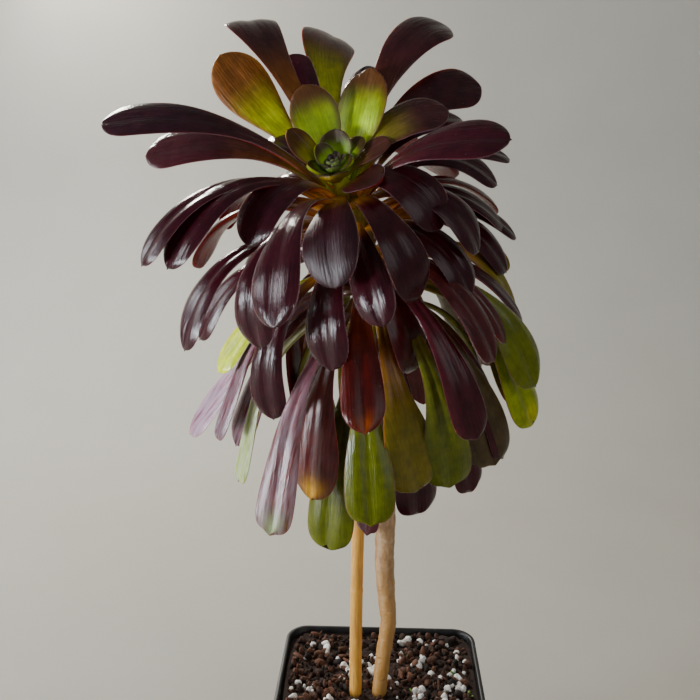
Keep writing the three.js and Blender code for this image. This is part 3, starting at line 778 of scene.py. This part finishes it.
def back_leaves():
    """Whorls over the side that the photo hides, from the crown's foot down to the skirt"""
    random = Seeded(5)
    pick = Seeded(77)
    leaves = []
    for whorl in range(BACK_COUNT):
        below = whorl * BACK_STEP
        depth = BACK_DEPTH + below
        half = min(BACK_NARROW if whorl % 2 else BACK_WIDE, BACK_TOP_HALF + BACK_WIDENING * whorl)
        count = round(half / BACK_SPACING)
        looks = BACK_LOOKS_HIGH if depth < 44 else BACK_LOOKS_MIDDLE if depth < 60 else BACK_LOOKS_LOW
        for i in range(count):
            turn = random.around(BACK_MIDDLE + half * (2 * i / (count - 1) - 1), 3)
            length = random.around(74 + 0.6 * below, 4)
            rise = max(-14, random.around(38 - 0.95 * below, 4))
            hang = random.around(max(-84, -60 - 0.8 * below), 5)
            width = random.around(18.5, 1.3)
            twist = random.around(0, 6)
            look = looks[int(pick.next() * len(looks))]
            leaves.append(Leaf(depth, turn, length, width, rise, hang, twist, look))
    return leaves


def make_foliage():
    skin = leaf_material()
    hair = cilia_material()
    # Name, leaves and whether they bend late
    groups = (
        ("heart_leaves", [*bud_leaves(), *HEART_LEAVES], False),
        ("standing_leaves", STANDING_LEAVES, True),
        ("arching_leaves", ARCHING_LEAVES, False),
        ("skirt_leaves", SKIRT_LEAVES, False),
        ("back_leaves", back_leaves(), False),
    )
    for name, leaves, late in groups:
        random = Seeded(len(name) * 131)
        data = MeshData()
        fringe = MeshData()
        for leaf in leaves:
            add_leaf(data, fringe, leaf, random, late)
        data.build(name, skin, "leaf_skin", "foliage")
        fringe.build(name.replace("leaves", "cilia"), hair, "leaf_skin", flat=True)
    make_shoot(skin)


def make_shoot(skin):
    """The growing shoot that carries the leaves, green above and woody below"""
    data = MeshData()
    depths = np.linspace(0.4, SHOOT_CUT, 60)
    sides = 20
    turn = np.linspace(0, 2 * math.pi, sides, endpoint=False)
    rings = []
    for depth in depths:
        at, _, front, right = shoot_axes(depth)
        radius = np.interp(depth, *zip(*SHOOT_RADII))
        bumps = 1 + 0.06 * np.sin(turn * 3 + depth * 0.9) + 0.04 * np.sin(turn * 5 - depth * 1.7)
        forward = np.outer(np.cos(turn) * bumps, front)
        sideways = np.outer(np.sin(turn) * bumps, right)
        rings.append(at + radius * forward + radius * sideways)
    points = np.vstack([*rings, shoot_point(0)[0], shoot_point(SHOOT_CUT)[0]])
    faces = [face[::-1] for face in closed_faces(len(rings), sides)]
    share = smooth((np.repeat(depths, sides) - 14) / 30)[:, None]
    tint = np.array(srgb(186, 184, 40)) * (1 - share) + np.array(srgb(150, 112, 60)) * share
    tint = np.vstack([tint, tint[0], tint[-1]])
    traits = np.zeros((len(points), 3))
    data.add(points, faces, tint=tint, grain=points, traits=traits, rim=np.array(srgb(150, 120, 60)))
    data.build("leafy_shoot", skin, "leaf_skin", "foliage")


# ---- Stem and cane ----

SCAR_SPACING = 4.6
SCAR_REACH = 1.15
CANE_JOINTS = (64.0, 148.0, 226.0)


def lean_at(z):
    return FOOT_Y + (TOP_Y - FOOT_Y) * (z - SOIL_TOP) / (TOP_Z - SOIL_TOP)


def rod(rows, sides, step):
    """Rings of a nearly upright rod, with its middle line, angles and heights"""
    z, x, diameter = (np.array(c, float) for c in zip(*rows))
    heights = np.arange(z[0], z[-1], step)
    heights = np.append(heights, z[-1])
    width = max(2.0, (z[-1] - z[0]) / 60)
    fine = np.linspace(z[0], z[-1], 400)
    kernel = np.exp(-0.5 * ((fine[:, None] - fine) / width) ** 2)
    kernel /= kernel.sum(1, keepdims=True)
    centre = np.interp(heights, fine, kernel @ np.interp(fine, z, x))
    radius = np.interp(heights, fine, kernel @ np.interp(fine, z, diameter)) / 2
    turn = np.linspace(0, 2 * math.pi, sides, endpoint=False)
    return heights, centre, radius, turn


def close_rod(data, points, rows, sides, **attributes):
    """Adds a rod with a centre for the ring at each end"""
    flat = np.vstack([points, points[:sides].mean(0), points[-sides:].mean(0)])
    padded = {key: np.vstack([v, v[:1], v[-1:]]) for key, v in attributes.items()}
    data.add(flat, closed_faces(rows, sides), **padded)


def make_stem():
    """Bare stem with crescent leaf scars in a spiral and low swellings between them"""
    end = shoot_point(SHOOT_CUT)[0]
    rows = (*STEM_PATH, (end[2] - 0.6, 0.0, 9.4))
    sides = 36
    heights, centre, radius, turn = rod(rows, sides, 0.8)
    scars = np.zeros((len(heights), sides))
    random = Seeded(41)
    z = SOIL_TOP
    i = 0
    while z < heights[-1]:
        angle = math.radians(i * GOLDEN_ANGLE)
        lean = np.abs((turn - angle + math.pi) % (2 * math.pi) - math.pi)
        arc = z - 1.4 * np.cos(np.clip(lean / SCAR_REACH, 0, 1) * math.pi / 2)
        near = np.exp(-(((heights[:, None] - arc) / 0.75) ** 2)) * (lean < SCAR_REACH)
        scars = np.maximum(scars, near * random.around(0.8, 0.2))
        z += random.around(SCAR_SPACING, 1.2)
        i += 1
    wobble = 0.12 * np.sin(heights * 0.55)[:, None] + 0.1 * np.sin(turn * 3 + heights[:, None] * 0.21)
    r = radius[:, None] + wobble - 0.22 * scars + 0.15 * np.roll(scars, 2, axis=0)
    r = np.minimum(r, radius[:, None] + 0.25)
    x = centre[:, None] + r * np.cos(turn)
    y = lean_at(heights)[:, None] + r * np.sin(turn)
    points = np.stack([x, y, np.broadcast_to(heights[:, None], x.shape)], -1).reshape(-1, 3)
    data = MeshData()
    close_rod(data, points, len(heights), sides, scar=scars.reshape(-1, 1))
    data.build("bare_stem", bark_material(), "stem_bark", "stem")


def make_cane():
    """Straight golden cane with low joints and a rounded upper end"""
    rows = [(z, x, CANE_DIAMETER) for z, x in CANE_PATH]
    sides = 32
    heights, centre, radius, turn = rod(rows, sides, 1.2)
    ridge = np.zeros_like(heights)
    for joint in CANE_JOINTS:
        ridge += 0.22 * np.exp(-(((heights - joint) / 1.1) ** 2))
        ridge -= 0.12 * np.exp(-((heights - joint - 2.4) ** 2))
    r = (radius - 0.05 + ridge)[:, None] * (1 + 0.008 * np.sin(turn * 2))
    top = np.clip((heights[-1] - heights) / 1.2, 0, 1)[:, None]
    r = r * (0.8 + 0.2 * np.sqrt(top))
    x = centre[:, None] + r * np.cos(turn)
    y = lean_at(heights)[:, None] + r * np.sin(turn)
    points = np.stack([x, y, np.broadcast_to(heights[:, None], x.shape)], -1).reshape(-1, 3)
    data = MeshData()
    close_rod(data, points, len(heights), sides)
    data.build("plant_cane", cane_material(), "cane_skin", "cane")


# ---- Pot ----

CORNER_STEPS = 10
SIDE_STEPS = 8
WALL_RINGS = 14


def corner_point(half, corner, side, angle, z):
    """Point at an angle on the round corner after a side"""
    towards = math.pi / 2 * (side + 0.5)
    reach = math.sqrt(2) * (half - corner)
    x = reach * math.cos(towards) + corner * math.cos(angle)
    y = reach * math.sin(towards) + corner * math.sin(angle)
    return x, y, z


def square_ring(half, corner, z):
    """Square ring with round corners and a few points along each side"""
    ring = []
    for side in range(4):
        for step in range(CORNER_STEPS + 1):
            ring.append(corner_point(half, corner, side, math.pi / 2 * (side + step / CORNER_STEPS), z))
        start = np.array(ring[-1])
        end = np.array(corner_point(half, corner, side + 1, math.pi / 2 * (side + 1), z))
        for step in range(1, SIDE_STEPS):
            ring.append(tuple(start + (end - start) * step / SIDE_STEPS))
    return np.array(ring)


def wall_half(z):
    share = z / (POT_HEIGHT - POT_LIP)
    return POT_FOOT_HALF + (POT_SHOULDER_HALF - POT_FOOT_HALF) * share


def wall_corner(z):
    return POT_FOOT_CORNER + (POT_RIM_CORNER - POT_FOOT_CORNER) * z / POT_HEIGHT


def make_pot():
    """Moulded pot: tapered walls, a rolled lip, a step inside and holes in its base"""
    lip = POT_HEIGHT - POT_LIP
    top = POT_HEIGHT
    foot = POT_FOOT_HALF
    rim = POT_RIM_HALF
    inner = wall_half(top) - POT_WALL
    # Half width and height: round the foot, up the wall, over the lip and down inside to the floor
    profile = [(foot - 2.2, 0.0), (foot - 0.9, 0.15), (foot - 0.2, 0.8)]
    profile += [(wall_half(z), z) for z in np.linspace(1.8, lip - 1.0, WALL_RINGS)]
    profile += [(POT_SHOULDER_HALF + 0.4, lip), (rim - 0.5, lip + 0.2), (rim, lip + 0.8), (rim, top - 1.0)]
    profile += [(rim - 0.15, top - 0.35), (rim - 0.5, top - 0.05), (rim - 1.5, top)]
    profile += [(inner + 0.4, top - 0.1), (inner, top - 0.6)]
    profile += [(wall_half(z) - POT_WALL, z) for z in np.linspace(lip, POT_FLOOR + 1.5, WALL_RINGS)]
    profile += [(wall_half(POT_FLOOR) - POT_WALL - 1.2, POT_FLOOR)]
    rings = []
    for half, z in profile:
        corner = wall_corner(z) + (half - wall_half(z)) * 0.6
        rings.append(square_ring(half, min(corner, half * 0.9), z))
    data = MeshData()
    points = np.vstack([*rings, (0, 0, 0), (0, 0, POT_FLOOR)])
    data.add(points, closed_faces(len(rings), len(rings[0])))
    pot = data.build("nursery_pot", pot_material(), "pot_plastic", "pot")
    drill_holes(pot)


def drill_holes(pot):
    """Drain holes round the middle of the base, by turns nearer and farther"""
    drills = MeshData()
    sides = 24
    turn = np.linspace(0, 2 * math.pi, sides, endpoint=False)
    circle = np.stack([np.cos(turn), np.sin(turn)], -1) * DRAIN_DIAMETER / 2
    ends = [tuple(range(sides - 1, -1, -1)), tuple(range(sides, 2 * sides))]
    for i in range(DRAIN_COUNT):
        angle = 2 * math.pi * i / DRAIN_COUNT
        reach = DRAIN_OFFSET * (math.sqrt(2) if i % 2 else 1)
        centre = reach * np.array([math.cos(angle), math.sin(angle)])
        rings = [np.column_stack([circle + centre, np.full(sides, z)]) for z in (-2.0, POT_FLOOR + 2.0)]
        drills.add(np.vstack(rings), grid_faces(2, sides) + ends)
    mesh = bpy.data.meshes.new("drills")
    mesh.from_pydata(np.vstack(drills.points) * MM, [], drills.faces)
    tool = new_object("drills", mesh)
    cut = pot.modifiers.new("holes", "BOOLEAN")
    cut.operation = "DIFFERENCE"
    cut.solver = "EXACT"
    cut.object = tool
    depsgraph = bpy.context.evaluated_depsgraph_get()
    holed = bpy.data.meshes.new_from_object(pot.evaluated_get(depsgraph), depsgraph=depsgraph)
    pot.modifiers.clear()
    pot.data = holed
    bpy.data.objects.remove(tool)


# ---- Potting mix ----


def soil_height(x, y):
    swell = np.sin(x * 0.21 + 1.3) * np.cos(y * 0.17 - 0.4)
    crumb = np.sin(x * 0.83 + y * 0.31) * np.sin(y * 0.71 - x * 0.22)
    return SOIL_TOP - SOIL_SUNK + SOIL_RELIEF * (0.6 * swell + 0.4 * crumb)


def icosphere(level):
    bpy.ops.mesh.primitive_ico_sphere_add(subdivisions=level, radius=1.0)
    ball = bpy.context.object
    points = np.array([v.co[:] for v in ball.data.vertices])
    faces = [tuple(p.vertices) for p in ball.data.polygons]
    bpy.data.objects.remove(ball)
    return points, faces


def tumbled(points, random):
    """Points turned at random about all axes"""
    a, b, c = (random.next() * 2 * math.pi for _ in range(3))
    ca, sa, cb, sb, cc, sc = math.cos(a), math.sin(a), math.cos(b), math.sin(b), math.cos(c), math.sin(c)
    matrix = np.array([[ca * cb, ca * sb * sc - sa * cc, ca * sb * cc + sa * sc],
                       [sa * cb, sa * sb * sc + ca * cc, sa * sb * cc - ca * sc],
                       [-sb, cb * sc, cb * cc]])
    return points @ matrix.T


MIX_CORNER = 9


def on_mix(x, y, inset, clear):
    """Whether a place is inside the pot and clear of the stem and the cane"""
    reach = wall_half(SOIL_TOP) - POT_WALL - inset
    past = [max(0, abs(place) - reach + MIX_CORNER) for place in (x, y)]
    by_stem = math.hypot(x + 0.7, y - FOOT_Y) < clear
    by_cane = math.hypot(x - CANE_PATH[0][1], y - FOOT_Y) < clear - 0.8
    return math.hypot(*past) < MIX_CORNER and not by_stem and not by_cane


def grain_spots(random, count, inset, clear=5.4):
    """Places scattered evenly over the mix"""
    spots = []
    while len(spots) < count:
        x = random.around(0, POT_RIM_HALF)
        y = random.around(0, POT_RIM_HALF)
        if on_mix(x, y, inset, clear):
            spots.append((x, y))
    return spots


def rough_lump(ball, random, size, squash, jag):
    """An uneven lump: each side of the ball is pushed in or out along a few random planes"""
    points, faces = ball
    shape = points.copy()
    for _ in range(5):
        direction = unit(np.array([random.around(0, 1), random.around(0, 1), random.around(0, 1)]))
        cut = random.around(0.62, 0.14)
        over = np.maximum(0, shape @ direction - cut)
        shape = shape - np.outer(over * jag, direction)
    shape = shape * size / 2 * np.array([1.0, squash, squash * random.around(0.85, 0.15)])
    return tumbled(shape, random), faces


SOIL_RINGS = 45
CHIP_COUNT = 1600
CHIP_LEAST = 2.0
CHIP_RANGE = 6.2
CLUSTER_COUNT = 84
CLUSTER_REACH = 4.0
CLUSTER_GRAINS = 4
GRAIN_LEAST = 2.0
GRAIN_RANGE = 3.6


def make_soil():
    """The body of the mix with its uneven top, and loose bark chips, perlite and sprouts on it"""
    reach = wall_half(SOIL_TOP) - POT_WALL - 0.2
    data = MeshData()
    rings = []
    for z in (SOIL_FOOT, SOIL_WAIST, SOIL_SHOULDER):
        rings.append(square_ring(wall_half(z) - POT_WALL - 0.25, wall_corner(z) - POT_WALL, z))
    for share in np.linspace(1.0, 0.02, SOIL_RINGS):
        half = share * reach
        corner = half * (1 + (wall_corner(SOIL_TOP) / reach - 1) * share)
        ring = square_ring(half, corner, 0)
        ring[:, 2] = soil_height(ring[:, 0], ring[:, 1])
        x, y = ring[:, 0], ring[:, 1]
        grit = np.sin(x * 2.9 + 1) * np.sin(y * 3.3) + np.sin(x * 1.4 - y * 1.9)
        ring[:, 2] += 0.35 * grit
        rings.append(ring)
    points = np.vstack([*rings, (0, 0, SOIL_FOOT), (0, 0, soil_height(0.0, 0.0))])
    faces = closed_faces(len(rings), len(rings[0]))
    data.add(points, faces, tone=np.full((len(points), 1), 0.1))
    random = Seeded(311)
    ball = icosphere(2)
    for x, y in grain_spots(random, CHIP_COUNT, 3.2):
        size = CHIP_LEAST + CHIP_RANGE * random.next() ** 2.2
        shape, ball_faces = rough_lump(ball, random, size, random.around(0.5, 0.2), 1.05)
        lift = soil_height(x, y) + size * 0.12
        tone = np.full((len(shape), 1), random.next() ** 1.5)
        data.add(shape + np.array([x, y, lift]), ball_faces, tone=tone)
    data.build("bark_mix", soil_material(), "potting_mix", "soil")
    make_perlite(random)
    make_sprouts()


def perlite_spots(random):
    """White grains lie singly and in loose clusters: sideways, back and size"""
    spots = []
    for x, y in grain_spots(random, CLUSTER_COUNT, 4.0, 7.5):
        for _ in range(1 + int(random.next() * CLUSTER_GRAINS)):
            spot = (random.around(x, CLUSTER_REACH), random.around(y, CLUSTER_REACH))
            size = GRAIN_LEAST + GRAIN_RANGE * random.next() ** 1.6
            if on_mix(*spot, 1.2 + size / 2, 4.4 + size / 2):
                spots.append((*spot, size))
    return spots


def make_perlite(random):
    """Rounded white grains"""
    ball = icosphere(3)
    data = MeshData()
    for x, y, size in perlite_spots(random):
        shape, faces = rough_lump(ball, random, size, random.around(0.85, 0.1), 0.7)
        bumps = 1 + 0.05 * np.sin(shape @ np.array([5.1, 3.3, 4.2]) / size * 3)
        lift = soil_height(x, y) + size * 0.22
        data.add(shape * bumps[:, None] + np.array([x, y, lift]), faces)
    data.build("perlite_grains", perlite_material(), "potting_mix")


# Places of the sprouts to the right and back
SPROUTS = ((13.5, 29.3), (39.3, 14.2), (45, -2), (17.4, 0.4), (-30, -28))


def make_sprouts():
    """Tiny sprouts, each of three small leaves that rise from the mix"""
    data = MeshData()
    random = Seeded(19)
    steps = 9
    for x, y in SPROUTS:
        base = np.array([x, y, soil_height(x, y)])
        for side in (0, 1, 2):
            angle = random.next() * 2 * math.pi + side * 2.1
            out = np.array([math.cos(angle), math.sin(angle), 0.0])
            wide = np.array([-out[1], out[0], 0.0])
            rows = []
            for t in np.linspace(0, 1, steps):
                half = 0.75 * math.sin(math.pi * min(1, t * 1.02)) ** 0.7 + 0.12
                at = base + out * (2.6 * t) + np.array([0, 0, 2.1 * math.sin(t * 1.7)])
                thick = np.array([0, 0, 0.22])
                rows.append([at - wide * half, at + thick * 0.6, at + wide * half, at - thick])
            points = np.array(rows).reshape(-1, 3)
            ends = [(3, 2, 1, 0), tuple(range(4 * steps - 4, 4 * steps))]
            data.add(points, grid_faces(steps, 4) + ends)
    data.build("tiny_sprouts", sprout_material(), "leaf_skin")


# ---- Stage ----


def make_stage():
    """Pale floor that curves up into a pale wall behind the plant"""
    wall_at, bend_radius, reach = 0.75, 0.35, 3.0
    front_end, wall_top, sunk = -2.5, 3.0, 0.0002
    profile = [(front_end, 0.0)]
    for angle in np.linspace(0, math.pi / 2, 13):
        back = wall_at - bend_radius + bend_radius * math.sin(angle)
        profile.append((back, bend_radius - bend_radius * math.cos(angle)))
    profile.append((wall_at, wall_top))
    points = [(x, y, z - sunk) for x in (-reach, reach) for y, z in profile]
    count = len(profile)
    faces = [(i, i + count, i + count + 1, i + 1) for i in range(count - 1)]
    mesh = bpy.data.meshes.new("floor")
    mesh.from_pydata(points, [], faces)
    mesh.polygons.foreach_set("use_smooth", [True] * len(mesh.polygons))
    n = Nodes("pale_floor")
    mottle = n.noise(n.place(), 0.012, 4.0)
    mesh.materials.append(n.finish(n.mix(mottle, srgb(176, 172, 162), srgb(186, 182, 172)), 0.85))
    floor = new_object("floor", mesh)


def area_light(name, at, aim, size, power, colour=(1, 1, 1)):
    light = bpy.data.lights.new(name, "AREA")
    light.shape = "DISK"
    light.size = size
    light.energy = power
    light.color = colour
    lamp = new_object(name, light)
    lamp.location = at
    lamp.rotation_euler = (Vector(aim) - Vector(at)).to_track_quat("-Z", "Y").to_euler()


def make_lights():
    head = (0.0, 0.0, 0.3)
    area_light("window_front", (-1.2, -0.5, 0.17), head, 0.3, 19.0, (0.9, 0.95, 1.0))
    area_light("window_left", (-1.25, 0.0, 0.6), head, 0.36, 6.5, (0.92, 0.96, 1.0))
    area_light("sun", (-0.5, 0.65, 0.75), head, 0.12, 9.0, (1.0, 0.96, 0.88))
    area_light("fill", (0.9, -1.2, 0.7), head, 1.4, 6.0)
    world = bpy.data.worlds.new("soft_sky")
    world.use_nodes = True
    sky = world.node_tree.nodes["Background"].inputs
    sky["Color"].default_value = (0.95, 0.97, 1.0, 1.0)
    sky["Strength"].default_value = 0.2
    bpy.context.scene.world = world


def make_camera():
    camera = bpy.data.cameras.new("camera")
    camera.lens = LENS
    camera.sensor_width = SENSOR
    camera.clip_start = 0.01
    eye = new_object("camera", camera)
    eye.location = Vector(CAMERA_AT) * MM
    eye.rotation_euler = (math.radians(90 - CAMERA_DOWN), 0, math.radians(CAMERA_LEFT))
    bpy.context.scene.camera = eye


# ---- The whole plant ----

make_camera()
make_lights()
make_stage()
make_foliage()
make_stem()
make_cane()
make_pot()
make_soil()
